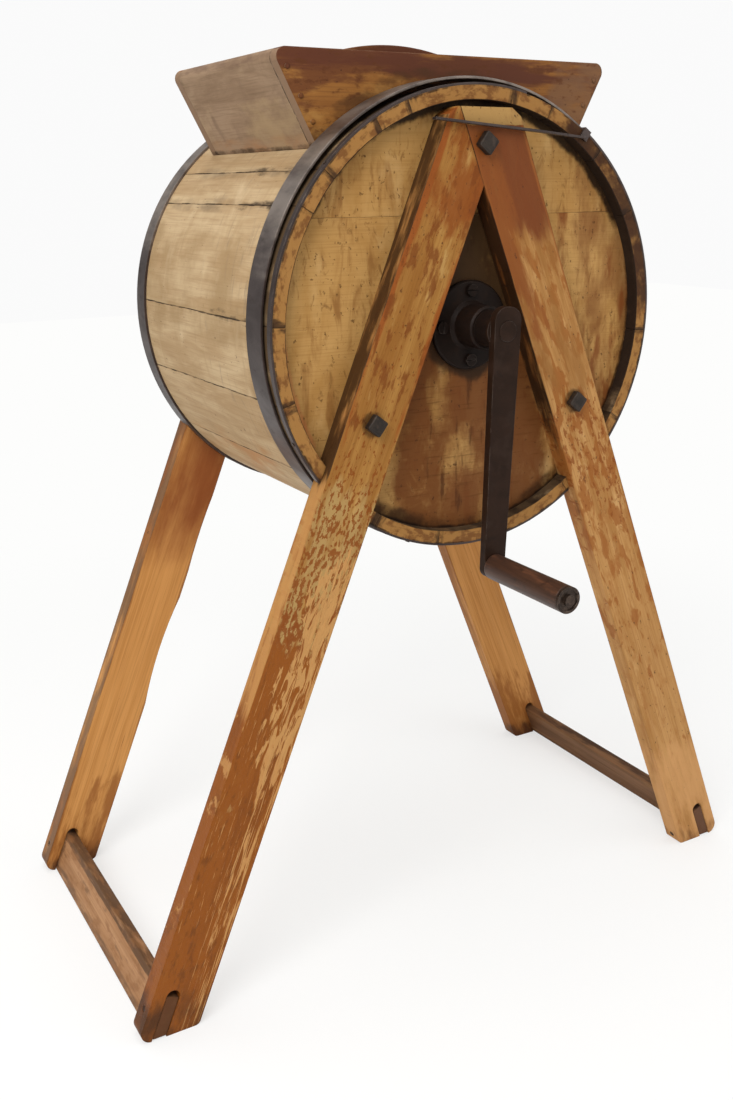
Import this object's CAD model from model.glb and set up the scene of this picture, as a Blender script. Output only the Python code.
"""Looks of a floor butter churn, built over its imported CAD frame, in metres.

The row frame in what follows is the frame that the CAD is drawn in.
"""

import logging
import math
import zlib
from dataclasses import dataclass, replace
from enum import Enum
from functools import partial
from typing import Dict, Iterable, Optional, Tuple, Union

import bmesh
import bpy
import numpy as np
from mathutils import Matrix, Vector


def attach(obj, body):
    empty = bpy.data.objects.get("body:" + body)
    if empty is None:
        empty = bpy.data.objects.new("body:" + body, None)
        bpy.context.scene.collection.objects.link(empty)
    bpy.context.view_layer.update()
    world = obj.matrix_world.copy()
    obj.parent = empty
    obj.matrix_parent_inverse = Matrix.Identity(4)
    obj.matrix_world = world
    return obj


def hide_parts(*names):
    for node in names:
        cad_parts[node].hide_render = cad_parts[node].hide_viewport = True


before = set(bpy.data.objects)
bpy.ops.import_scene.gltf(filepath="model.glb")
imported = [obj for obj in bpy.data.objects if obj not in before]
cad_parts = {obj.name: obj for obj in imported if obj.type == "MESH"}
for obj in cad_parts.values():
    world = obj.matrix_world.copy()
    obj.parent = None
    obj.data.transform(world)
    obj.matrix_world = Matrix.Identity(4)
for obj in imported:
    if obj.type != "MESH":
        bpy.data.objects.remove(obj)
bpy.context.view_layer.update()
LOG = logging.getLogger("churn")

Vec3 = Tuple[float, float, float]
Span = Tuple[float, float]
Socket = bpy.types.NodeSocket
MM = 0.001

# The CAD's sizes that the grain and stains are laid out by, in millimetres
SHAFT_Z = 623.0
FRONT_Y = -94.05
BARREL_R = 202.0
LEG_LEAN = math.radians(22.2)
LEG_OFF = 73.6

# Angles of the stave seams about the shaft, in degrees, and the stave that the feed hole cuts
SEAMS = (
    29, 48, 67.7, 80.3, 111, 120.7, 138.5, 148.4, 176.8,
    196, 217, 238, 259, 281, 304, 330, 355.3, 389,
)
CUT_STAVE = 3

# How each piece's tone and each layer's seed move the noise, and how rough the noise is
TONE_STEP = (57.0, 91.0, 33.0)
TONE_COUNT = 1000
SEED_STEP = (7.3, 3.1, 11.7)
NOISE_ROUGHNESS = 0.6

# Stretches of the noise that the ground's figure, fibre and roughness go through
FIGURE_SPAN = (0.35, 0.65)
FIBRE_SPAN = (0.42, 0.72)
ROUGH_SPAN = (0.3, 0.7)
ROUGH_CHANGE = 0.07

# Samples of the rounded normal, and how far it leans at an edge that counts as worn
EDGE_SAMPLES = 6
WORN_TURN = (0.99, 0.8)

# Points closer than this are one, faces closer in angle are one, and gentler edges shade smooth
WELD_MM = 0.002
FLAT_DEG = 0.6
CREASE_DEG = 40.0


def linear(hex_colour: str) -> Tuple[float, float, float, float]:
    """Turns an sRGB hex value into a linear colour.

    Args:
        hex_colour: six hex digits.

    Returns:
        Linear red, green, blue and an alpha of one.
    """
    parts = [int(hex_colour[i:i + 2], 16) / 255 for i in (0, 2, 4)]
    lin = [c / 12.92 if c <= 0.04045 else ((c + 0.055) / 1.055) ** 2.4 for c in parts]
    return (lin[0], lin[1], lin[2], 1.0)


def add_node(
    tree: bpy.types.NodeTree,
    kind: str,
    settings: Optional[Dict[str, object]] = None,
    inputs: Optional[Dict[Union[str, int], object]] = None,
) -> bpy.types.Node:
    """Adds one node with its settings and its links.

    Args:
        tree: the node tree to add to.
        kind: the node's type name.
        settings: attributes to set on the node.
        inputs: values or sockets for its inputs, by name or number.

    Returns:
        The new node.
    """
    node = tree.nodes.new(kind)
    for name, value in (settings or {}).items():
        setattr(node, name, value)
    for key, value in (inputs or {}).items():
        if isinstance(value, bpy.types.NodeSocket):
            tree.links.new(value, node.inputs[key])
        else:
            node.inputs[key].default_value = value
    return node


class Ramp(Enum):
    """How a value goes from one end of its span to the other."""

    LINEAR = "LINEAR"
    SMOOTH = "SMOOTHSTEP"


class Axis(Enum):
    """What a reach is measured along."""

    ACROSS = "across"
    OFF_MIDDLE = "off_middle"
    TO_SEAM = "to_seam"
    ROW_X = "row_x"
    ROW_Y = "row_y"
    ROW_Z = "row_z"
    FROM_SHAFT = "from_shaft"
    WORN = "worn"
    END_GRAIN = "end_grain"


@dataclass(frozen=True)
class Reach:
    """A smooth rise from low to high as an axis goes from start to end, lengths in millimetres."""

    axis: Axis
    start: float
    end: float
    low: float = 0.0
    high: float = 1.0


@dataclass(frozen=True)
class Spot:
    """A smooth fall from one to nought about a point of the row frame, in millimetres."""

    at: Vec3
    inner: float
    outer: float
    stretch: Vec3 = (1.0, 1.0, 1.0)


# Rubbed edges, faces that cut the grain, and the same faces with a steeper border
WORN_EDGE = Reach(Axis.WORN, 0.2, 0.8)
END_FACE = Reach(Axis.END_GRAIN, 0.3, 0.9)
STEEP_END_FACE = Reach(Axis.END_GRAIN, 0.3, 0.8)

# Reaches up, back and to the right in the row frame, out from the shaft, and over a board's width
by_height = partial(Reach, Axis.ROW_Z)
by_depth = partial(Reach, Axis.ROW_Y)
by_side = partial(Reach, Axis.ROW_X)
by_width = partial(Reach, Axis.ACROSS)
by_radius = partial(Reach, Axis.FROM_SHAFT)
by_seam = partial(Reach, Axis.TO_SEAM)
by_offset = partial(Reach, Axis.OFF_MIDDLE)


@dataclass(frozen=True)
class Layer:
    """A pass of colour that shows where a noise rises past a level.

    The noise has features of grain_mm along, across and through the piece. Zones are
    multiplied, and lower the noise where they fall, so that a layer's border stays ragged.
    """

    colour: str
    grain_mm: Vec3
    level: float
    soft: float
    strength: float = 1.0
    zones: Tuple[Union[Reach, Spot], ...] = ()
    relief_mm: float = 0.0
    gloss: float = 0.0
    detail: float = 5.0
    seed: float = 0.0
    warp: float = 0.0


@dataclass(frozen=True)
class Finish:
    """A wood or iron surface: a grained ground with layers of stain, paint, wear and dirt."""

    name: str
    light: str
    dark: str
    figure_mm: Vec3
    fibre_mm: Vec3
    fibre_colour: str
    fibre: float
    layers: Tuple[Layer, ...]
    roughness: float = 0.6
    metallic: float = 0.0
    specular: float = 0.5
    relief_mm: float = 0.05
    edge_mm: float = 1.2
    tone_colour: str = "000000"
    tone: float = 0.0

    def material(self) -> bpy.types.Material:
        """Builds the finish the first time it is asked for.

        Returns:
            Its material.
        """
        known = bpy.data.materials.get(self.name)
        if known:
            return known
        return FinishTree(self).material


class FinishTree:
    """The node tree of one finish, built from the ground up."""

    def __init__(self, finish: Finish) -> None:
        """Builds the material of a finish.

        Args:
            finish: what the surface is.
        """
        self.finish = finish
        self.material = bpy.data.materials.new(finish.name)
        self.material.use_nodes = True
        self.material.node_tree.nodes.clear()
        self.add = partial(add_node, self.material.node_tree)
        self._read_axes()
        self._build()

    def _math(self, operation: str, *values: Union[Socket, float]) -> Socket:
        """The outcome of a sum of numbers."""
        node = self.add("ShaderNodeMath", {"operation": operation}, dict(enumerate(values)))
        return node.outputs[0]

    def _vector(self, operation: str, *values: Union[Socket, Vec3]) -> Socket:
        """The outcome of a sum of vectors, which is a number for a length or a dot product."""
        node = self.add("ShaderNodeVectorMath", {"operation": operation}, dict(enumerate(values)))
        return node.outputs["Value" if operation in ("LENGTH", "DOT_PRODUCT") else "Vector"]

    def _ranged(self, value: Socket, span: Span, to: Span, ramp: Ramp = Ramp.SMOOTH) -> Socket:
        """Carries a value from one span to another, and holds it at the ends.

        Args:
            value: what is carried over.
            span: where the value starts and ends, which may fall.
            to: what it becomes there.
            ramp: how it goes from one end to the other.

        Returns:
            The new value.
        """
        if span[0] > span[1]:
            span, to = span[::-1], to[::-1]
        ends = {0: value, 1: span[0], 2: span[1], 3: to[0], 4: to[1]}
        return self.add("ShaderNodeMapRange", {"interpolation_type": ramp.value}, ends).outputs[0]

    def _mixed(self, share: Socket, under: object, over: object) -> Socket:
        """Mixes two colours by a share from nought to one."""
        colours = {0: share, 6: under, 7: over}
        return self.add("ShaderNodeMix", {"data_type": "RGBA"}, colours).outputs[2]

    def _attribute(self, name: str, output: str = "Fac") -> Socket:
        """Reads a value that the mesh carries."""
        return self.add("ShaderNodeAttribute", {"attribute_name": name}).outputs[output]

    def _read_axes(self) -> None:
        """Reads the board's own coordinates and the row's, in millimetres."""
        self.board = self._attribute("grain_mm", "Vector")
        across = self.add("ShaderNodeSeparateXYZ", {}, {0: self.board}).outputs[1]
        off_middle = self._math("ABSOLUTE", across)
        self.tone = self._attribute("tone")
        spread = self.add("ShaderNodeCombineXYZ", {}, dict.fromkeys(range(3), self.tone)).outputs[0]
        self.shift = self._vector("MULTIPLY", spread, TONE_STEP)
        self.rounded = self.add(
            "ShaderNodeBevel", {"samples": EDGE_SAMPLES}, {"Radius": self.finish.edge_mm * MM}
        ).outputs[0]
        flat = self.add("ShaderNodeNewGeometry").outputs["True Normal"]
        square = self._vector("DOT_PRODUCT", self.rounded, flat)
        place = self.add("ShaderNodeTexCoord").outputs["Object"]
        self.row = self._vector("MULTIPLY", place, (1 / MM, 1 / MM, 1 / MM))
        row_x, row_y, row_z = self.add("ShaderNodeSeparateXYZ", {}, {0: self.row}).outputs
        level = self._vector("MULTIPLY_ADD", self.row, (1.0, 0.0, 1.0), (0.0, 0.0, -SHAFT_Z))
        self._axes: Dict[Axis, Socket] = {
            Axis.ACROSS: across,
            Axis.OFF_MIDDLE: off_middle,
            Axis.TO_SEAM: self._math("SUBTRACT", self._attribute("half_mm"), off_middle),
            Axis.ROW_X: row_x,
            Axis.ROW_Y: row_y,
            Axis.ROW_Z: row_z,
            Axis.FROM_SHAFT: self._vector("LENGTH", level),
            Axis.WORN: self._ranged(square, WORN_TURN, (0.0, 1.0), Ramp.LINEAR),
            Axis.END_GRAIN: self._attribute("end_grain"),
        }

    def noise(self, size: Vec3, detail: float, seed: float, warp: float) -> Socket:
        """A noise over the board whose features have a real size.

        Args:
            size: feature sizes along, across and through the board, in millimetres.
            detail: octaves of the noise.
            seed: moves the pattern.
            warp: how far the pattern is drawn out of line.

        Returns:
            The noise's value.
        """
        at = self._vector("MULTIPLY_ADD", self.board, tuple(1.0 / s for s in size), self.shift)
        moved = self._vector("ADD", at, tuple(seed * step for step in SEED_STEP))
        return self.add(
            "ShaderNodeTexNoise", {},
            {"Vector": moved, "Scale": 1.0, "Detail": detail, "Roughness": NOISE_ROUGHNESS,
             "Distortion": warp},
        ).outputs["Fac"]

    def zone(self, zones: Iterable[Union[Reach, Spot]]) -> Optional[Socket]:
        """Where a layer may show.

        Args:
            zones: the layer's reaches and spots.

        Returns:
            Their product, or nothing where there are none.
        """
        product: Optional[Socket] = None
        for part in zones:
            if isinstance(part, Spot):
                near = self._vector("SUBTRACT", self.row, part.at)
                away = self._vector("LENGTH", self._vector("DIVIDE", near, part.stretch))
                share = self._ranged(away, (part.inner, part.outer), (1.0, 0.0))
            else:
                value = self._axes[part.axis]
                share = self._ranged(value, (part.start, part.end), (part.low, part.high))
            product = share if product is None else self._math("MULTIPLY", product, share)
        return product

    def mask(self, layer: Layer) -> Socket:
        """Where a layer shows.

        Args:
            layer: the pass of colour.

        Returns:
            A value from nought to the layer's strength.
        """
        value = self.noise(layer.grain_mm, layer.detail, layer.seed, layer.warp)
        level = layer.level
        zone = self.zone(layer.zones)
        if zone is not None:
            value = self._math("ADD", value, zone)
            level += 1.0
        return self._ranged(value, (level, level + layer.soft), (0.0, layer.strength))

    def _blend(self, under: Socket, over: str, mask: Socket) -> Socket:
        """Lays a colour over another through a mask that is kept within nought and one."""
        kept = self.add("ShaderNodeClamp", {}, {0: mask, 1: 0.0, 2: 1.0}).outputs[0]
        return self._mixed(kept, under, linear(over))

    def _build(self) -> None:
        """Ground, tone, fibre and layers, then the shader."""
        spec = self.finish
        figure = self.noise(spec.figure_mm, detail=4.0, seed=1.0, warp=0.8)
        ground = self._ranged(figure, FIGURE_SPAN, (0.0, 1.0))
        colour = self._mixed(ground, linear(spec.light), linear(spec.dark))
        if spec.tone:
            toned = self._math("MULTIPLY", self.tone, spec.tone)
            colour = self._blend(colour, spec.tone_colour, toned)
        fibre = self.noise(spec.fibre_mm, detail=3.0, seed=2.0, warp=0.2)
        streak = self._ranged(fibre, FIBRE_SPAN, (0.0, spec.fibre))
        colour = self._blend(colour, spec.fibre_colour, streak)
        height = self._math("MULTIPLY", fibre, spec.relief_mm)
        roughness = (spec.roughness - ROUGH_CHANGE, spec.roughness + ROUGH_CHANGE)
        rough = self._ranged(figure, ROUGH_SPAN, roughness, Ramp.LINEAR)
        for layer in spec.layers:
            mask = self.mask(layer)
            colour = self._blend(colour, layer.colour, mask)
            if layer.relief_mm:
                height = self._math("MULTIPLY_ADD", mask, layer.relief_mm, height)
            if layer.gloss:
                rough = self._math("MULTIPLY_ADD", mask, -layer.gloss, rough)
        bump = self.add(
            "ShaderNodeBump", {},
            {"Strength": 1.0, "Distance": MM, "Height": height, "Normal": self.rounded},
        ).outputs[0]
        shader = self.add(
            "ShaderNodeBsdfPrincipled", {},
            {"Base Color": colour, "Roughness": rough, "Metallic": spec.metallic,
             "Specular IOR Level": spec.specular, "Normal": bump},
        )
        self.add("ShaderNodeOutputMaterial", {}, {"Surface": shader.outputs[0]})


# Weathered basswood staves, planed and left bare: chalky tan, greyed, black at the seams
STAVE_WOOD = Finish(
    name="weathered_basswood_staves", light="C4AA84", dark="AD906A",
    figure_mm=(150, 26, 60), fibre_mm=(60, 1.6, 1.6), fibre_colour="8C6C46", fibre=0.34,
    roughness=0.74, specular=0.2, tone_colour="A5835A", tone=0.25, relief_mm=0.12,
    layers=(
        Layer("A78A63", (34, 150, 400), 0.5, 0.2, 0.55, seed=1, warp=0.6),
        Layer("D6BF9B", (40, 70, 400), 0.56, 0.2, 0.4, seed=2, warp=0.4),
        Layer("93764F", (50, 60, 400), 0.34, 0.3, 0.55, seed=19,
              zones=(by_height(742, 700), by_height(570, 620))),
        Layer("7B6A58", (9, 46, 400), 0.56, 0.16, 0.5, seed=20, warp=0.5,
              zones=(by_depth(130, 0, 0.88, 1.0),)),
        Layer("8F7657", (7, 60, 400), 0.6, 0.14, 0.45, seed=14),
        Layer("B27C49", (90, 40, 400), 0.42, 0.3, 0.8,
              zones=(by_height(560, 505),), seed=3),
        Layer("7D6950", (60, 30, 400), 0.4, 0.3, 0.7,
              zones=(by_seam(26, 3), by_height(640, 720, 0.8, 1.0)), seed=4),
        Layer("6E5C48", (70, 40, 400), 0.36, 0.3, 0.7,
              zones=(by_height(742, 790), by_depth(90, -20, 0.7, 1.0)), seed=15),
        Layer("5A4228", (6, 3.5, 400), 0.66, 0.06, 0.7, seed=5, relief_mm=-0.1),
        Layer("4A3420", (30, 1.3, 400), 0.72, 0.05, 0.6, seed=6, relief_mm=-0.12),
        Layer("2A1E15", (40, 12, 400), 0.42, 0.2, 0.85,
              zones=(by_seam(16, 1, 0.5, 1.0), by_depth(110, -20, 0.8, 1.0),
                     by_height(540, 610, 0.86, 1.0)), seed=7),
        Layer("2A1D13", (22, 5, 400), 0.4, 0.2, 0.85,
              zones=(by_seam(2.2, 0.5),), seed=16, relief_mm=-0.3),
        Layer("46331F", (30, 40, 400), 0.18, 0.3, 0.92,
              zones=(by_depth(-40, -56),), seed=8),
        Layer("4A3524", (60, 30, 400), 0.42, 0.3, 0.6,
              zones=(by_depth(195, 212),), seed=9),
        Layer("9C6F39", (18, 14, 30), 0.12, 0.2, 0.95,
              zones=(END_FACE,), seed=10),
        Layer("6A401C", (14, 12, 7), 0.46, 0.16, 0.8,
              zones=(END_FACE,), seed=11),
        Layer("3A2010", (26, 26, 20), 0.22, 0.3, 0.92,
              zones=(END_FACE, Spot((178, -94, 738), 90, 160)), seed=17),
        Layer("2A190D", (14, 9, 30), 0.4, 0.2, 0.85,
              zones=(END_FACE, by_seam(22, 1, 0.4, 1.0)), seed=12),
        Layer("24160C", (12, 12, 30), 0.4, 0.2, 0.8,
              zones=(END_FACE, by_radius(198, 201)), seed=18),
        Layer("20130A", (70, 26, 20), 0.12, 0.3, 0.95,
              zones=(by_depth(-78, -82), by_radius(191.5, 190.3),
                     by_height(500, 620, 0.72, 1.0)), seed=13),
    ),
)

# Aged basswood head, planed, soaked with old milk fat: yellow tan with brown and red stains
HEAD_WOOD = Finish(
    name="stained_basswood_head", edge_mm=0.5, light="BA9055", dark="A67A41",
    figure_mm=(90, 160, 60), fibre_mm=(60, 1.5, 1.5), fibre_colour="80582A", fibre=0.25,
    roughness=0.6, specular=0.13, relief_mm=0.06,
    layers=(
        Layer("CBA871", (50, 90, 60), 0.55, 0.2, 0.6, seed=1),
        Layer("7F5226", (16, 60, 60), 0.5, 0.18, 0.72, seed=2, warp=0.7, detail=7.0),
        Layer("6E4722", (8, 18, 60), 0.57, 0.12, 0.6, seed=17, warp=0.9, detail=7.0),
        Layer("764722", (26, 80, 60), 0.3, 0.26, 0.68, seed=15,
              zones=(by_side(40, 150),)),
        Layer("763D18", (22, 80, 60), 0.5, 0.14, 0.8, seed=3, detail=7.0,
              zones=(by_side(60, 120, 0.84, 1.0), by_height(800, 700, 0.9, 1.0))),
        Layer("B97040", (14, 120, 60), 0.3, 0.2, 0.8, seed=13,
              zones=(by_radius(168, 184), by_side(-90, -150),
                     by_height(700, 600, 0.7, 1.0))),
        Layer("683816", (40, 60, 60), 0.2, 0.3, 0.9, seed=4,
              zones=(Spot((8, -80, 510), 76, 164, (0.9, 1, 1.4)),)),
        Layer("9A6C3A", (22, 30, 60), 0.48, 0.18, 0.55, seed=5, warp=0.5, detail=7.0,
              zones=(Spot((-48, -80, 484), 42, 90),)),
        Layer("54300F", (34, 2.4, 60), 0.54, 0.12, 0.45, seed=18, detail=6.0,
              zones=(Spot((0, -80, 540), 90, 150),)),
        Layer("48270F", (12, 70, 60), 0.53, 0.12, 0.75, seed=14,
              zones=(Spot((4, -80, 530), 60, 120, (0.9, 1, 1.2)),)),
        Layer("24140A", (14, 120, 60), 0.36, 0.2, 0.9, seed=6,
              zones=(Spot((42, -80, 540), 8, 36, (0.5, 1, 3.8)),)),
        Layer("33200F", (30, 40, 60), 0.14, 0.3, 0.95, seed=7,
              zones=(Spot((2, -80, 650), 62, 104, (0.8, 1, 1)),)),
        Layer("3C2411", (44, 44, 60), 0.32, 0.26, 0.9, seed=8,
              zones=(by_radius(150, 186), by_height(560, 480, 0.7, 1.0))),
        Layer("1C1008", (30, 30, 60), 0.2, 0.3, 0.95, seed=9,
              zones=(by_radius(170, 189), by_height(660, 740, 0.66, 1.0))),
        Layer("1C1008", (30, 30, 60), 0.24, 0.3, 0.9, seed=16,
              zones=(by_radius(180, 190), by_height(620, 700, 1.0, 0.8))),
        Layer("4A2C14", (40, 3, 60), 0.45, 0.3, 0.6, seed=10,
              zones=(by_height(716, 718.6), by_height(722, 719.4))),
        Layer("4A2C14", (4, 5, 60), 0.62, 0.06, 0.75, seed=11, relief_mm=-0.1),
        Layer("3E2612", (40, 1.2, 60), 0.71, 0.05, 0.6, seed=12, relief_mm=-0.15),
    ),
)

# Pine leg under old red-brown stain that is flaked above and scraped along the grain below
PAINTED_LEG = Finish(
    name="worn_red_stained_pine", edge_mm=1.8, light="A7783C", dark="905F29",
    figure_mm=(260, 14, 14), fibre_mm=(70, 1.5, 1.5), fibre_colour="7C4E22", fibre=0.42,
    roughness=0.58, specular=0.11, relief_mm=0.1,
    layers=(
        Layer("C09A5C", (50, 16, 20), 0.55, 0.14, 0.6, seed=12,
              zones=(by_offset(24, 10, 0.9, 1.0),)),
        Layer("AA8A55", (90, 16, 20), 0.34, 0.2, 0.85, seed=17,
              zones=(by_height(560, 480),)),
        Layer("8E4A1C", (80, 11, 20), 0.36, 0.18, 0.9, seed=6, gloss=0.06,
              zones=(by_offset(10, 25), by_height(440, 560))),
        Layer("834517", (40, 20, 20), 0.27, 0.24, 0.88, seed=13, gloss=0.06,
              zones=(by_height(640, 730), by_width(22, -4, 0.84, 1.0))),
        Layer("834517", (6.5, 3.4, 20), 0.485, 0.05, 0.9, seed=3, relief_mm=0.1, gloss=0.05,
              zones=(by_height(590, 430, 0.86, 1.0),)),
        Layer("834517", (18, 6, 20), 0.43, 0.06, 0.92, seed=14, relief_mm=0.1, gloss=0.05,
              zones=(by_height(470, 340, 0.75, 1.0),)),
        Layer("8A4D18", (120, 20, 20), 0.27, 0.12, 0.96, seed=1, relief_mm=0.08, gloss=0.08,
              zones=(by_height(420, 300, 0.6, 1.0),)),
        Layer("763F14", (170, 16, 20), 0.46, 0.2, 0.6, seed=2,
              zones=(by_height(420, 300, 0.7, 1.0),)),
        Layer("5E3315", (16, 5, 20), 0.53, 0.14, 0.55, seed=19, detail=7.0,
              zones=(by_height(400, 220, 0.88, 1.0),)),
        Layer("B5824A", (24, 1.6, 20), 0.6, 0.06, 0.85, seed=20, relief_mm=-0.08,
              zones=(by_height(380, 300, 0.85, 1.0), by_height(60, 130, 0.85, 1.0))),
        Layer("BF8B52", (60, 6, 20), 0.5, 0.05, 0.92, seed=4, relief_mm=-0.14, warp=0.5,
              zones=(by_width(16, -14, 0.8, 1.0), by_height(40, 110, 0.86, 1.0),
                     by_height(500, 420, 0.6, 1.0))),
        Layer("C6945A", (60, 1.5, 20), 0.56, 0.05, 0.9, seed=5, relief_mm=-0.1,
              zones=(by_width(14, -12, 0.82, 1.0), by_height(500, 420, 0.6, 1.0))),
        Layer("BE8D54", (30, 7, 20), 0.47, 0.05, 0.92, seed=18, relief_mm=-0.12, warp=0.9, detail=7.0,
              zones=(by_width(22, -4, 0.78, 1.0), by_height(200, 270, 0.75, 1.0),
                     by_height(450, 410, 0.75, 1.0))),
        Layer("743D16", (26, 8, 20), 0.51, 0.1, 0.8, seed=22, detail=8.0,
              zones=(by_height(470, 560),)),
        Layer("4A2A16", (5, 3, 20), 0.62, 0.05, 0.75, seed=7, relief_mm=-0.08,
              zones=(by_height(430, 640, 0.92, 1.0),)),
        Layer("B8844B", (90, 12, 12), 0.26, 0.25, 0.88, seed=9,
              zones=(by_width(26.4, 27.8), by_height(220, 320))),
        Layer("84491D", (40, 8, 12), 0.56, 0.14, 0.8, seed=16, detail=7.0,
              zones=(by_width(26.4, 27.8),)),
        Layer("382312", (60, 12, 12), 0.26, 0.26, 0.94, seed=15,
              zones=(by_width(25.8, 27.6), by_height(440, 520))),
        Layer("3A2416", (40, 12, 20), 0.34, 0.3, 0.75, seed=8,
              zones=(by_height(130, 20), by_width(-20, 12, 0.8, 1.0))),
        Layer("4E3019", (30, 14, 20), 0.2, 0.5, 0.8, seed=21,
              zones=(by_height(170, -20),)),
        Layer("2C1A10", (24, 24, 24), 0.3, 0.3, 0.7, seed=10,
              zones=(Spot((-110.9, -100, 546), 9, 22),)),
        Layer("2C1A10", (24, 24, 24), 0.3, 0.3, 0.7, seed=11,
              zones=(Spot((0, -100, 778), 10, 24),)),
    ),
)

# Pine leg whose varnish has gone patchy: orange tan with red-brown islands, redder at the top
PATCHY_LEG = Finish(
    name="patchy_varnished_pine", edge_mm=1.8, light="BA8B53", dark="A67640",
    figure_mm=(260, 14, 14), fibre_mm=(70, 1.5, 1.5), fibre_colour="8A5A2E", fibre=0.42,
    roughness=0.58, specular=0.12, relief_mm=0.09,
    layers=(
        Layer("CDA36B", (60, 16, 20), 0.56, 0.14, 0.55, seed=12),
        Layer("925623", (34, 10, 20), 0.48, 0.08, 0.82, seed=1, relief_mm=0.08, gloss=0.05,
              detail=8.0, warp=0.4, zones=(by_height(150, 400, 0.86, 1.0),)),
        Layer("A26C38", (20, 7, 20), 0.5, 0.18, 0.6, seed=17, detail=7.0,
              zones=(by_height(480, 420),)),
        Layer("84471B", (8, 4, 20), 0.54, 0.06, 0.8, seed=2, relief_mm=0.1,
              zones=(by_height(330, 470, 0.84, 1.0), by_height(575, 530, 0.86, 1.0))),
        Layer("8E5F2E", (120, 22, 20), 0.34, 0.24, 0.8, seed=14,
              zones=(by_height(470, 580),)),
        Layer("703A1B", (110, 24, 20), 0.26, 0.26, 0.94, seed=4, gloss=0.05,
              zones=(by_height(630, 730),)),
        Layer("82481F", (70, 12, 20), 0.34, 0.2, 0.88, seed=3, gloss=0.05,
              zones=(by_height(560, 620), by_width(12, -6))),
        Layer("8F5426", (120, 8, 20), 0.4, 0.2, 0.75, seed=6,
              zones=(by_offset(18, 28), by_height(300, 420, 0.7, 1.0))),
        Layer("AE8850", (40, 16, 20), 0.2, 0.2, 0.95, seed=15,
              zones=(by_height(789, 794),)),
        Layer("46291A", (5, 3, 20), 0.64, 0.05, 0.75, seed=7, relief_mm=-0.08),
        Layer("6A4226", (60, 1.4, 20), 0.68, 0.05, 0.6, seed=8, relief_mm=-0.1),
        Layer("2A190D", (60, 12, 12), 0.22, 0.26, 0.94, seed=13,
              zones=(by_width(-26.2, -27.8), by_height(470, 560, 0.6, 1.0))),
        Layer("CB9862", (90, 18, 20), 0.34, 0.25, 0.7, seed=16,
              zones=(by_height(220, 120),)),
        Layer("6E4526", (40, 10, 20), 0.34, 0.3, 0.7, seed=9,
              zones=(by_height(60, 8),)),
        Layer("2C1A10", (24, 24, 24), 0.3, 0.3, 0.75, seed=11,
              zones=(Spot((110.9, -100, 546), 9, 22),)),
    ),
)

# Back legs of pine under thin amber varnish, darker towards the barrel and the feet
AMBER_LEG = Finish(
    name="amber_varnished_pine", edge_mm=1.8, light="CC9252", dark="BE8446",
    figure_mm=(420, 13, 13), fibre_mm=(90, 1.6, 1.6), fibre_colour="8E5A28", fibre=0.38,
    roughness=0.5, specular=0.14, relief_mm=0.07,
    layers=(
        Layer("80431D", (150, 40, 30), 0.1, 0.5, 0.95, seed=1,
              zones=(by_height(240, 415),)),
        Layer("8C5324", (60, 14, 20), 0.33, 0.2, 0.8, seed=2,
              zones=(by_height(240, 60),)),
        Layer("8A5428", (120, 9, 20), 0.4, 0.2, 0.75, seed=3,
              zones=(by_offset(17, 28),)),
        Layer("43261A", (5, 3.2, 20), 0.69, 0.05, 0.8, seed=4, relief_mm=-0.08),
        Layer("6A4020", (60, 1.5, 20), 0.68, 0.05, 0.7, seed=5, relief_mm=-0.1),
        Layer("6B5038", (60, 10, 20), 0.3, 0.25, 0.75, seed=7,
              zones=(by_width(26.2, 27.8),)),
        Layer("46291A", (36, 12, 20), 0.3, 0.3, 0.8, seed=6,
              zones=(by_height(60, 6),)),
    ),
)

# Hopper ends, lid and nails under dark red-brown paint, rubbed to tan in clouds along the grain
HOPPER_PAINT = Finish(
    name="rubbed_red_brown_paint", edge_mm=2.0, light="96642F", dark="865629",
    figure_mm=(120, 20, 30), fibre_mm=(60, 1.5, 1.5), fibre_colour="5E3A20", fibre=0.35,
    roughness=0.56, specular=0.13, relief_mm=0.08,
    layers=(
        Layer("A97A40", (40, 22, 40), 0.5, 0.16, 0.75, seed=3,
              zones=(by_side(40, -60, 0.86, 1.0),)),
        Layer("653A20", (60, 14, 40), 0.44, 0.12, 0.88, seed=1, detail=7.0, gloss=0.06, relief_mm=0.06,
              zones=(by_height(790, 830, 0.86, 1.0),)),
        Layer("5A3120", (120, 14, 40), 0.3, 0.18, 0.94, seed=2, gloss=0.06,
              zones=(by_height(818, 838),)),
        Layer("76543A", (60, 30, 40), 0.34, 0.2, 0.8, seed=4,
              zones=(by_side(50, 120),)),
        Layer("5A3219", (16, 9, 40), 0.55, 0.1, 0.75, seed=10, detail=7.0),
        Layer("4A2F1A", (30, 14, 20), 0.34, 0.3, 0.7, seed=11,
              zones=(by_radius(238, 214),)),
        Layer("2E1A12", (4, 3, 20), 0.66, 0.05, 0.75, seed=5, relief_mm=-0.08),
        Layer("A07B5E", (40, 8, 8), 0.36, 0.2, 0.6, seed=6,
              zones=(WORN_EDGE, by_height(846, 850))),
        Layer("8B6F56", (30, 12, 12), 0.1, 0.2, 0.95, seed=9,
              zones=(STEEP_END_FACE,)),
        Layer("2A180F", (20, 8, 20), 0.3, 0.25, 0.85, seed=8,
              zones=(by_radius(216, 204),)),
    ),
)

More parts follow.
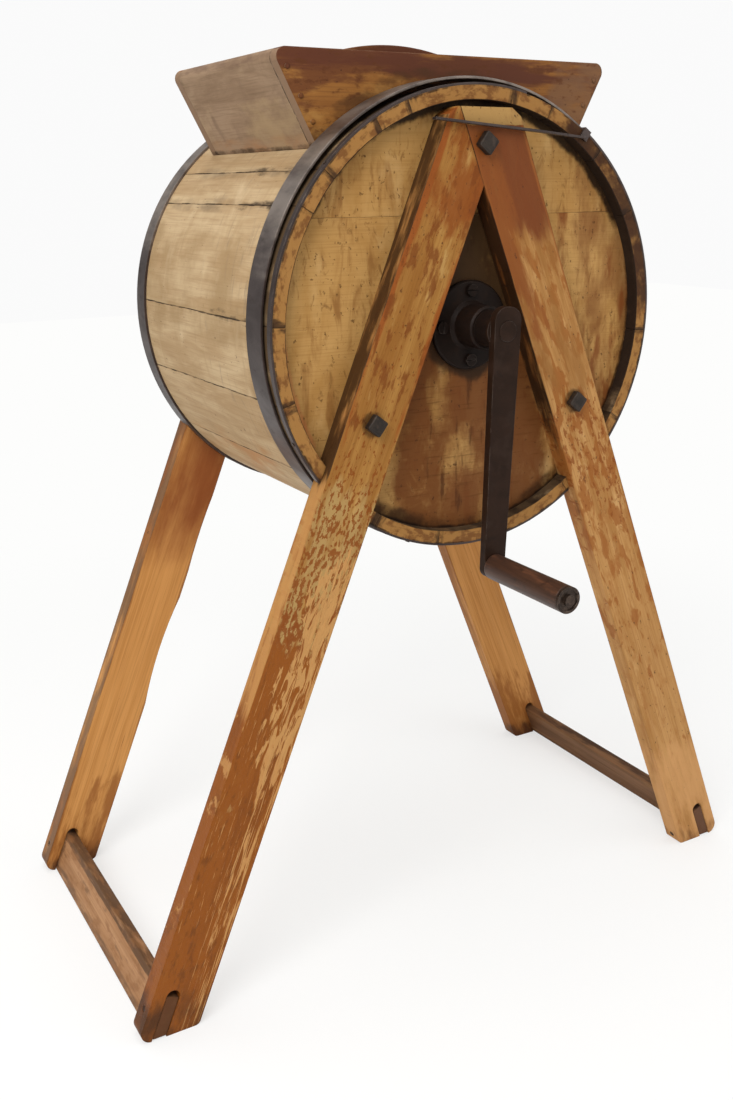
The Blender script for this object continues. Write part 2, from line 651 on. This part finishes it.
# Hopper sides of bare basswood, greyed by handling
HOPPER_SIDE = Finish(
    name="greyed_bare_basswood", edge_mm=2.0, light="A0856A", dark="8C7259",
    figure_mm=(120, 24, 30), fibre_mm=(50, 1.5, 1.5), fibre_colour="66503A", fibre=0.28,
    roughness=0.68, specular=0.13, relief_mm=0.08,
    layers=(
        Layer("B39877", (50, 40, 40), 0.52, 0.2, 0.55, seed=1),
        Layer("78604D", (30, 70, 40), 0.52, 0.2, 0.55, seed=2),
        Layer("5E4838", (40, 20, 40), 0.26, 0.4, 0.75, seed=9,
              zones=(by_depth(120, 178),)),
        Layer("B29770", (50, 30, 40), 0.36, 0.3, 0.55, seed=10,
              zones=(by_depth(130, 60), by_height(835, 812))),
        Layer("6A5142", (60, 14, 40), 0.34, 0.3, 0.75, seed=3,
              zones=(by_height(828, 848),)),
        Layer("A87B54", (40, 20, 40), 0.36, 0.3, 0.6, seed=8,
              zones=(by_radius(232, 212),)),
        Layer("3A2A1E", (30, 14, 20), 0.34, 0.3, 0.85, seed=4,
              zones=(by_radius(214, 204),)),
        Layer("3A2A1E", (4, 3, 20), 0.7, 0.05, 0.7, seed=5, relief_mm=-0.08),
        Layer("4A3626", (24, 1.2, 20), 0.71, 0.05, 0.7, seed=6, relief_mm=-0.12),
        Layer("2C1E14", (20, 6, 20), 0.3, 0.25, 0.9, seed=7,
              zones=(by_depth(-34.5, -37),)),
    ),
)

# The left stretcher's pine, rubbed pale on the face and grimy along its top and bottom
PALE_STRETCHER = Finish(
    name="rubbed_pine_stretcher", light="B4875F", dark="A0744E",
    figure_mm=(200, 10, 10), fibre_mm=(70, 1.5, 1.5), fibre_colour="7A5538", fibre=0.35,
    roughness=0.62, specular=0.13, relief_mm=0.08,
    layers=(
        Layer("503826", (60, 8, 10), 0.3, 0.2, 0.85, seed=1,
              zones=(by_height(29, 37),)),
        Layer("5E4432", (40, 8, 10), 0.3, 0.3, 0.75, seed=8,
              zones=(by_height(22, 7),)),
        Layer("8A5E3A", (24, 10, 10), 0.48, 0.16, 0.7, seed=7, detail=7.0),
        Layer("6A4C34", (40, 10, 10), 0.57, 0.12, 0.6, seed=2, detail=7.0),
        Layer("3E2818", (24, 10, 10), 0.24, 0.3, 0.85, seed=3,
              zones=(by_depth(-62, -84),)),
        Layer("3E2818", (24, 10, 10), 0.3, 0.3, 0.7, seed=4,
              zones=(by_depth(190, 222),)),
        Layer("4A3220", (4, 3, 10), 0.69, 0.05, 0.7, seed=5, relief_mm=-0.08),
        Layer("5A371E", (12, 12, 12), 0.08, 0.2, 0.95, seed=6,
              zones=(STEEP_END_FACE,)),
    ),
)

# Pine of the right stretcher and of the pins, dark with floor grime
DARK_STRETCHER = Finish(
    name="grimy_pine_stretcher", light="7C583A", dark="67472D",
    figure_mm=(200, 10, 10), fibre_mm=(70, 1.5, 1.5), fibre_colour="40281A", fibre=0.35,
    roughness=0.6, specular=0.22, relief_mm=0.08,
    layers=(
        Layer("916A44", (90, 8, 10), 0.54, 0.14, 0.6, seed=1),
        Layer("3A2518", (60, 8, 10), 0.36, 0.2, 0.8, seed=2,
              zones=(by_height(30, 41),)),
        Layer("2E1C12", (24, 10, 10), 0.3, 0.3, 0.7, seed=3,
              zones=(by_depth(-62, -84),)),
        Layer("2A1A10", (4, 3, 10), 0.69, 0.05, 0.7, seed=4, relief_mm=-0.08),
        Layer("5E3C24", (12, 12, 12), 0.08, 0.2, 0.95, seed=5,
              zones=(STEEP_END_FACE,)),
    ),
)

# Turned maple grip, dark with hand oil and polished by use
GRIP_WOOD = Finish(
    name="oiled_maple_grip", light="482F22", dark="38241A",
    figure_mm=(80, 6, 6), fibre_mm=(30, 0.9, 0.9), fibre_colour="281913", fibre=0.4,
    roughness=0.38, specular=0.4, relief_mm=0.03,
    layers=(
        Layer("6E4630", (50, 8, 8), 0.52, 0.16, 0.6, seed=1),
        Layer("241812", (12, 6, 6), 0.56, 0.12, 0.6, seed=2),
        Layer("8A6A54", (30, 5, 5), 0.44, 0.2, 0.4, seed=3,
              zones=(WORN_EDGE,)),
    ),
)

# Bare beech inside the barrel, washed and kept clean
DASHER_WOOD = Finish(
    name="scrubbed_beech_dasher", light="C9AC82", dark="B5976B",
    figure_mm=(200, 12, 12), fibre_mm=(60, 1.4, 1.4), fibre_colour="8E6C44", fibre=0.35,
    roughness=0.68, specular=0.25, relief_mm=0.06,
    layers=(
        Layer("A08259", (70, 20, 20), 0.5, 0.2, 0.5, seed=1),
        Layer("5E4528", (5, 3, 10), 0.7, 0.05, 0.6, seed=2),
    ),
)

# Hot-rolled hoop iron, smooth and long oxidised to a brown black with a soft sheen
HOOP_IRON = Finish(
    name="oxidised_hoop_iron", edge_mm=0.6, light="4A3E3A", dark="3E332F",
    figure_mm=(60, 40, 40), fibre_mm=(3, 3, 3), fibre_colour="2A211D", fibre=0.2,
    roughness=0.38, metallic=0.55, relief_mm=0.03,
    layers=(
        Layer("574B45", (60, 30, 30), 0.54, 0.2, 0.6, seed=1, gloss=0.05),
        Layer("33251D", (22, 14, 14), 0.56, 0.14, 0.6, seed=2, gloss=-0.1),
        Layer("82766E", (40, 10, 10), 0.4, 0.2, 0.6, seed=3, gloss=0.1,
              zones=(WORN_EDGE,)),
        Layer("1E1714", (2.5, 2.5, 2.5), 0.68, 0.06, 0.5, seed=4, relief_mm=-0.04),
    ),
)

# Iron of the front and back hoops, paler towards the top, where dust lies on it
DUSTY_HOOP = replace(
    HOOP_IRON, name="dusty_hoop_iron",
    layers=HOOP_IRON.layers + (
        Layer("9A8D82", (70, 30, 30), 0.26, 0.4, 0.78, seed=5,
              zones=(by_height(560, 730),)),
    ),
)

# Cast and forged iron of the crank: brown black, blacker at hub and bearing, with rubbed rims
CRANK_IRON = Finish(
    name="blackened_forged_iron", light="2C1B11", dark="23150C",
    figure_mm=(40, 40, 40), fibre_mm=(3, 3, 3), fibre_colour="1A1310", fibre=0.2,
    roughness=0.52, metallic=0.1, specular=0.12, relief_mm=0.03,
    layers=(
        Layer("34251D", (40, 24, 24), 0.52, 0.18, 0.5, seed=1),
        Layer("16100E", (14, 14, 14), 0.57, 0.14, 0.6, seed=2),
        Layer("100D0C", (14, 14, 14), 0.2, 0.3, 0.62, seed=5,
              zones=(by_depth(-134.5, -131),)),
        Layer("6E625A", (14, 14, 14), 0.4, 0.2, 0.6, seed=3, gloss=0.12,
              zones=(WORN_EDGE,)),
        Layer("0F0B09", (2, 2, 2), 0.66, 0.06, 0.5, seed=4, relief_mm=-0.04),
    ),
)

# Wrought bolts and nuts of the legs: brown black scale with pale rubbed edges
BOLT_IRON = Finish(
    name="black_scale_wrought_iron", light="34291F", dark="241B14",
    figure_mm=(8, 8, 8), fibre_mm=(2, 2, 2), fibre_colour="171412", fibre=0.4,
    roughness=0.55, metallic=0.4, relief_mm=0.08,
    layers=(
        Layer("47382D", (6, 6, 6), 0.54, 0.14, 0.6, seed=1),
        Layer("8E8680", (4, 4, 4), 0.46, 0.16, 0.6, seed=2,
              zones=(WORN_EDGE,)),
        Layer("0E0B0A", (2, 2, 2), 0.62, 0.08, 0.6, seed=3, relief_mm=-0.1),
    ),
)

# Steel of the spindle, the washer and the band's nails: browned, with a dull shine where rubbed
RUBBED_STEEL = Finish(
    name="browned_rubbed_steel", edge_mm=0.5, light="42342A", dark="30251E",
    figure_mm=(10, 10, 10), fibre_mm=(3, 0.8, 3), fibre_colour="2E2825", fibre=0.4,
    roughness=0.4, metallic=0.7, relief_mm=0.04,
    layers=(
        Layer("5C4C40", (6, 6, 6), 0.5, 0.16, 0.6, seed=1, gloss=0.08),
        Layer("3A2A20", (5, 5, 5), 0.56, 0.12, 0.6, seed=2),
        Layer("84766A", (6, 6, 6), 0.36, 0.2, 0.7, seed=3, gloss=0.12,
              zones=(WORN_EDGE,)),
    ),
)


@dataclass(frozen=True)
class BoardFrame:
    """Where a board lies: a point on it and its grain and width directions, in the row frame."""

    origin: Vec3
    along: Vec3
    across: Vec3

    def local(self, points_mm: np.ndarray) -> np.ndarray:
        """Coordinates along, across and through the board.

        Args:
            points_mm: points of the row frame in millimetres, one a row.

        Returns:
            The same points measured from the origin on the board's own directions.
        """
        along = np.array(self.along)
        across = np.array(self.across)
        axes = np.stack([along, across, np.cross(along, across)], axis=1)
        return (points_mm - np.array(self.origin)) @ axes


@dataclass
class WornCopy:
    """A CAD node's shape with its edges worn round, which stands for that node."""

    node: str
    body: str
    finish: Finish
    grain: BoardFrame
    round_mm: float = 0.0
    segments: int = 2
    least_mm: float = 1.5
    sharp_deg: float = 32.0

    def _rounded(self) -> bpy.types.Mesh:
        """Joins the node's mesh to plain faces and rounds its long sharp edges.

        Returns:
            The new mesh.
        """
        shape = bmesh.new()
        shape.from_mesh(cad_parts[self.node].data)
        bmesh.ops.remove_doubles(shape, verts=shape.verts, dist=WELD_MM * MM)
        if self.round_mm:
            bmesh.ops.dissolve_limit(
                shape, angle_limit=math.radians(FLAT_DEG), verts=shape.verts, edges=shape.edges
            )
            edges = [
                e for e in shape.edges
                if len(e.link_faces) == 2 and e.is_convex
                and e.calc_face_angle() > math.radians(self.sharp_deg)
                and e.calc_length() > self.least_mm * MM
            ]
            bmesh.ops.bevel(
                shape, geom=edges, offset=self.round_mm * MM, offset_type="OFFSET",
                segments=self.segments, profile=0.5, affect="EDGES", clamp_overlap=True,
            )
        for face in shape.faces:
            face.smooth = True
        for edge in shape.edges:
            joined = len(edge.link_faces) == 2
            edge.smooth = joined and edge.calc_face_angle() < math.radians(CREASE_DEG)
        mesh = bpy.data.meshes.new("worn_" + self.node)
        shape.to_mesh(mesh)
        shape.free()
        return mesh

    def coordinates(self, points_mm: np.ndarray) -> Tuple[np.ndarray, np.ndarray]:
        """The board's coordinates and half its width at each point.

        Args:
            points_mm: points of the row frame, in millimetres.

        Returns:
            Coordinates along, across and through, and the half width, both per point.
        """
        local = self.grain.local(points_mm)
        half = np.full(len(local), np.abs(local[:, 1]).max())
        return local, half

    def _end_grain(self, mesh: bpy.types.Mesh) -> np.ndarray:
        """How squarely each face cuts the grain.

        Args:
            mesh: the piece's mesh.

        Returns:
            A value from nought to one, per face.
        """
        normals = np.empty(len(mesh.polygons) * 3, dtype=np.float32)
        mesh.polygons.foreach_get("normal", normals)
        facing = np.abs(normals.reshape(-1, 3) @ np.array(self.grain.along, dtype=np.float32))
        return facing.astype(np.float32)

    def build(self) -> bpy.types.Object:
        """Makes the piece, gives it its grain and finish, and puts it in the node's place.

        Returns:
            The piece.
        """
        mesh = self._rounded()
        points = np.empty(len(mesh.vertices) * 3)
        mesh.vertices.foreach_get("co", points)
        local, half = self.coordinates(points.reshape(-1, 3) / MM)
        mesh.attributes.new("grain_mm", "FLOAT_VECTOR", "POINT").data.foreach_set(
            "vector", local.astype(np.float32).ravel()
        )
        mesh.attributes.new("half_mm", "FLOAT", "POINT").data.foreach_set(
            "value", half.astype(np.float32)
        )
        mesh.attributes.new("end_grain", "FLOAT", "FACE").data.foreach_set(
            "value", self._end_grain(mesh)
        )
        tone = (zlib.crc32(self.node.encode()) % TONE_COUNT) / TONE_COUNT
        mesh.attributes.new("tone", "FLOAT", "POINT").data.foreach_set(
            "value", np.full(len(mesh.vertices), tone, dtype=np.float32)
        )
        piece = bpy.data.objects.new("worn_" + self.node, mesh)
        bpy.context.scene.collection.objects.link(piece)
        mesh.materials.append(self.finish.material())
        even = piece.modifiers.new("even_normals", "WEIGHTED_NORMAL")
        even.keep_sharp = True
        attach(piece, self.body)
        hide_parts(self.node)
        LOG.info("%s: %d faces, %s", piece.name, len(mesh.polygons), self.finish.name)
        return piece


@dataclass
class StaveCopy(WornCopy):
    """A stave, whose grain runs along the barrel and whose width runs round it."""

    start_deg: float = 0.0
    end_deg: float = 0.0

    def coordinates(self, points_mm: np.ndarray) -> Tuple[np.ndarray, np.ndarray]:
        """Along the barrel, round it from the stave's middle, and out from the shaft.

        Args:
            points_mm: points of the row frame, in millimetres.

        Returns:
            The coordinates and half the stave's width, both per point.
        """
        x, z = points_mm[:, 0], points_mm[:, 2] - SHAFT_Z
        middle = math.radians((self.start_deg + self.end_deg) / 2)
        angle = np.arctan2(z, x) - middle
        angle = (angle + math.pi) % (2 * math.pi) - math.pi
        local = np.stack(
            [points_mm[:, 1] - FRONT_Y, angle * BARREL_R, np.hypot(x, z)], axis=1
        )
        half = math.radians(self.end_deg - self.start_deg) / 2 * BARREL_R
        return local, np.full(len(local), half)


# Boards whose grain runs from side to side, and from front to back
ALONG_X = BoardFrame((0, 0, SHAFT_Z), (1, 0, 0), (0, 0, 1))
ALONG_Y = BoardFrame((0, 0, 0), (0, 1, 0), (0, 0, 1))


def leg_frame(side: int) -> BoardFrame:
    """The frame of a leg: up the leg, and across it towards its outer edge.

    Args:
        side: 1 for a right leg and -1 for a left one.

    Returns:
        The leg's board frame.
    """
    up = (-side * math.sin(LEG_LEAN), 0.0, math.cos(LEG_LEAN))
    out = (side * math.cos(LEG_LEAN), 0.0, math.sin(LEG_LEAN))
    origin = (out[0] * LEG_OFF, 0.0, SHAFT_Z + out[2] * LEG_OFF)
    return BoardFrame(origin, up, out)


@dataclass
class Stand:
    """The two A-frames with their stretchers, pins, bolts and nuts, and how far edges are rounded."""

    edge_mm: float = 1.6
    bolt_mm: float = 1.6
    bolt_steps: int = 3
    nut_mm: float = 0.8

    def build(self) -> None:
        """Makes every piece of the stand."""
        legs = (
            ("front_leg_left", -1, PAINTED_LEG), ("front_leg_right", 1, PATCHY_LEG),
            ("back_leg_left", -1, AMBER_LEG), ("back_leg_right", 1, AMBER_LEG),
        )
        for node, side, finish in legs:
            WornCopy(node, "churn", finish, leg_frame(side)).build()
        WornCopy("stretcher_left", "churn", PALE_STRETCHER, ALONG_Y, self.edge_mm).build()
        WornCopy("stretcher_right", "churn", DARK_STRETCHER, ALONG_Y, self.edge_mm).build()
        WornCopy("stretcher_pins", "churn", DARK_STRETCHER, ALONG_Y).build()
        WornCopy("leg_bolts", "churn", BOLT_IRON, ALONG_Y, self.bolt_mm, self.bolt_steps).build()
        WornCopy("leg_nuts", "churn", BOLT_IRON, ALONG_Y, self.nut_mm).build()


@dataclass
class Barrel:
    """Staves, heads, hoops and the band at the rim, and how far edges are rounded."""

    edge_mm: float = 0.45
    hoop_mm: float = 0.8

    def build(self) -> None:
        """Makes every piece of the barrel."""
        for i in range(len(SEAMS) - 1):
            nodes = [f"stave_{i + 1}"]
            if i == CUT_STAVE:
                nodes = ["stave_feed_front", "stave_feed_back"]
            for node in nodes:
                StaveCopy(
                    node, "churn", STAVE_WOOD, ALONG_Y, self.edge_mm,
                    start_deg=SEAMS[i], end_deg=SEAMS[i + 1],
                ).build()
        for end in ("front", "back"):
            for part in ("upper", "lower"):
                WornCopy(f"{end}_head_{part}", "churn", HEAD_WOOD, ALONG_X).build()
        for node in ("front_hoop", "back_hoop"):
            WornCopy(node, "churn", DUSTY_HOOP, ALONG_Y, self.hoop_mm).build()
        for node in ("chime_band_left", "chime_band_bottom", "chime_band_right"):
            WornCopy(node, "churn", HOOP_IRON, ALONG_Y).build()
        WornCopy("chime_band_nails", "churn", RUBBED_STEEL, ALONG_Y).build()


@dataclass
class Hopper:
    """The four boards of the hopper, its nails, and the lid, and how far edges are rounded."""

    edge_mm: float = 1.8
    grip_mm: float = 3.0
    grip_steps: int = 3

    def build(self) -> None:
        """Makes every piece of the hopper and its lid."""
        for node in ("hopper_front", "hopper_back"):
            WornCopy(node, "churn", HOPPER_PAINT, ALONG_X).build()
        for node in ("hopper_left", "hopper_right"):
            WornCopy(node, "churn", HOPPER_SIDE, ALONG_Y).build()
        WornCopy("hopper_nails", "churn", HOPPER_PAINT, ALONG_X).build()
        WornCopy("lid_board", "lid", HOPPER_PAINT, ALONG_X, self.edge_mm).build()
        WornCopy("lid_grip", "lid", HOPPER_PAINT, ALONG_X, self.grip_mm, self.grip_steps).build()


@dataclass
class Crank:
    """Bearings, shaft, arm, handle and the dasher inside, and how far edges are rounded."""

    dasher_mm: float = 1.0
    slats: int = 4

    def build(self) -> None:
        """Makes every piece of the crank and the dasher."""
        for end in ("front", "back"):
            WornCopy(f"{end}_bearing", "churn", CRANK_IRON, ALONG_Y).build()
            WornCopy(f"{end}_bearing_screws", "churn", CRANK_IRON, ALONG_Y).build()
        WornCopy("drive_shaft", "crank", CRANK_IRON, ALONG_Y).build()
        WornCopy("crank_arm", "crank", CRANK_IRON, ALONG_Y).build()
        WornCopy("handle_spindle", "crank", RUBBED_STEEL, ALONG_Y).build()
        WornCopy("handle_washer", "crank", RUBBED_STEEL, ALONG_Y).build()
        WornCopy("handle_grip", "grip", GRIP_WOOD, ALONG_Y).build()
        for end in ("front", "back"):
            WornCopy(f"dasher_arm_{end}", "crank", DASHER_WOOD, ALONG_X, self.dasher_mm).build()
        for i in range(1, self.slats + 1):
            WornCopy(f"dasher_slat_{i}", "crank", DASHER_WOOD, ALONG_Y, self.dasher_mm).build()


@dataclass(frozen=True)
class Lamp:
    """A square soft lamp: its place and side in metres, and its power in watts."""

    name: str
    at: Vec3
    side: float
    power: float

    def build(self, aim: Vec3) -> None:
        """Hangs the lamp.

        Args:
            aim: the point that it faces, in metres.
        """
        data = bpy.data.lights.new(self.name, "AREA")
        data.size = self.side
        data.energy = self.power
        lamp = bpy.data.objects.new(self.name, data)
        bpy.context.scene.collection.objects.link(lamp)
        lamp.location = self.at
        ray = Vector(aim) - Vector(self.at)
        lamp.rotation_euler = ray.to_track_quat("-Z", "Y").to_euler()


@dataclass
class Studio:
    """Floor, light and camera, in metres unless a name says otherwise."""

    lamps: Tuple[Lamp, ...] = (
        Lamp("key", (-1.9, -1.5, 2.3), 1.6, 58.0),
        Lamp("fill", (1.9, -1.7, 1.5), 2.2, 14.0),
        Lamp("top", (-0.2, 0.2, 2.7), 2.4, 30.0),
    )
    lamp_aim: Vec3 = (0.0, 0.0, 0.5)
    sky_light: float = 0.42
    sky_seen: float = 0.96
    eye: Vec3 = (-0.6039, -0.95085, 0.7432)
    yaw_deg: float = 29.687
    pitch_deg: float = -17.569
    roll_deg: float = -0.484
    lens_mm: float = 37.531
    sensor_mm: float = 36.0
    floor_half: float = 6.0
    floor_glow: Span = (0.6, 1.0)
    glow_reach: Span = (0.3, 1.5)

    def build(self) -> None:
        """Sets up the whole studio."""
        self._floor()
        self._world()
        for lamp in self.lamps:
            lamp.build(self.lamp_aim)
        self._camera()
        bpy.context.scene.view_settings.view_transform = "Standard"

    def _floor(self) -> None:
        """A wide pale floor that is not part of the churn."""
        half = self.floor_half
        mesh = bpy.data.meshes.new("floor")
        mesh.from_pydata(
            [(-half, -half, 0), (half, -half, 0), (half, half, 0), (-half, half, 0)],
            [], [(0, 1, 2, 3)],
        )
        floor = bpy.data.objects.new("floor", mesh)
        bpy.context.scene.collection.objects.link(floor)
        paper = bpy.data.materials.new("white_paper_sweep")
        paper.use_nodes = True
        tree = paper.node_tree
        tree.nodes.clear()
        matt = add_node(tree, "ShaderNodeBsdfDiffuse", {}, {"Color": linear("FBFBFA")})
        glow = add_node(
            tree, "ShaderNodeEmission", {}, {"Color": linear("FDFDFC"), "Strength": 1.0}
        )
        place = add_node(tree, "ShaderNodeTexCoord").outputs["Object"]
        away = add_node(
            tree, "ShaderNodeVectorMath", {"operation": "LENGTH"}, {0: place}
        ).outputs["Value"]
        bright = add_node(
            tree, "ShaderNodeMapRange", {"interpolation_type": Ramp.SMOOTH.value},
            {0: away, 1: self.glow_reach[0], 2: self.glow_reach[1],
             3: self.floor_glow[0], 4: self.floor_glow[1]},
        ).outputs[0]
        seen = add_node(tree, "ShaderNodeLightPath").outputs["Is Camera Ray"]
        share = add_node(
            tree, "ShaderNodeMath", {"operation": "MULTIPLY"}, {0: bright, 1: seen}
        ).outputs[0]
        mixed = add_node(
            tree, "ShaderNodeMixShader", {}, {0: share, 1: matt.outputs[0], 2: glow.outputs[0]}
        )
        add_node(tree, "ShaderNodeOutputMaterial", {}, {"Surface": mixed.outputs[0]})
        mesh.materials.append(paper)

    def _world(self) -> None:
        """A soft white sky that the camera sees as near white."""
        world = bpy.data.worlds.new("studio")
        bpy.context.scene.world = world
        world.use_nodes = True
        tree = world.node_tree
        tree.nodes.clear()
        path = add_node(tree, "ShaderNodeLightPath").outputs
        strength = add_node(
            tree, "ShaderNodeMapRange", {},
            {0: path["Is Camera Ray"], 1: 0.0, 2: 1.0, 3: self.sky_light, 4: self.sky_seen},
        ).outputs[0]
        sky = add_node(
            tree, "ShaderNodeBackground", {}, {"Color": linear("FFFFFF"), "Strength": strength}
        )
        add_node(tree, "ShaderNodeOutputWorld", {}, {"Surface": sky.outputs[0]})

    def _camera(self) -> None:
        """The camera that the photograph was fitted with."""
        yaw, pitch, roll = (
            math.radians(a) for a in (self.yaw_deg, self.pitch_deg, self.roll_deg)
        )
        right = Vector((math.cos(yaw), -math.sin(yaw), 0.0))
        ahead = Vector((
            math.sin(yaw) * math.cos(pitch), math.cos(yaw) * math.cos(pitch), math.sin(pitch)
        ))
        up = right.cross(ahead)
        across = right * math.cos(roll) + up * math.sin(roll)
        upright = up * math.cos(roll) - right * math.sin(roll)
        data = bpy.data.cameras.new("camera")
        data.lens = self.lens_mm
        data.sensor_width = self.sensor_mm
        camera = bpy.data.objects.new("camera", data)
        bpy.context.scene.collection.objects.link(camera)
        turn = Matrix((across, upright, -ahead)).transposed()
        camera.matrix_world = Matrix.Translation(Vector(self.eye)) @ turn.to_4x4()
        bpy.context.scene.camera = camera


def main() -> None:
    """Builds the studio and the churn."""
    logging.basicConfig(level=logging.INFO, format="%(name)s %(message)s")
    Studio().build()
    for part in (Stand(), Barrel(), Hopper(), Crank()):
        part.build()


if __name__ == "__main__":
    main()
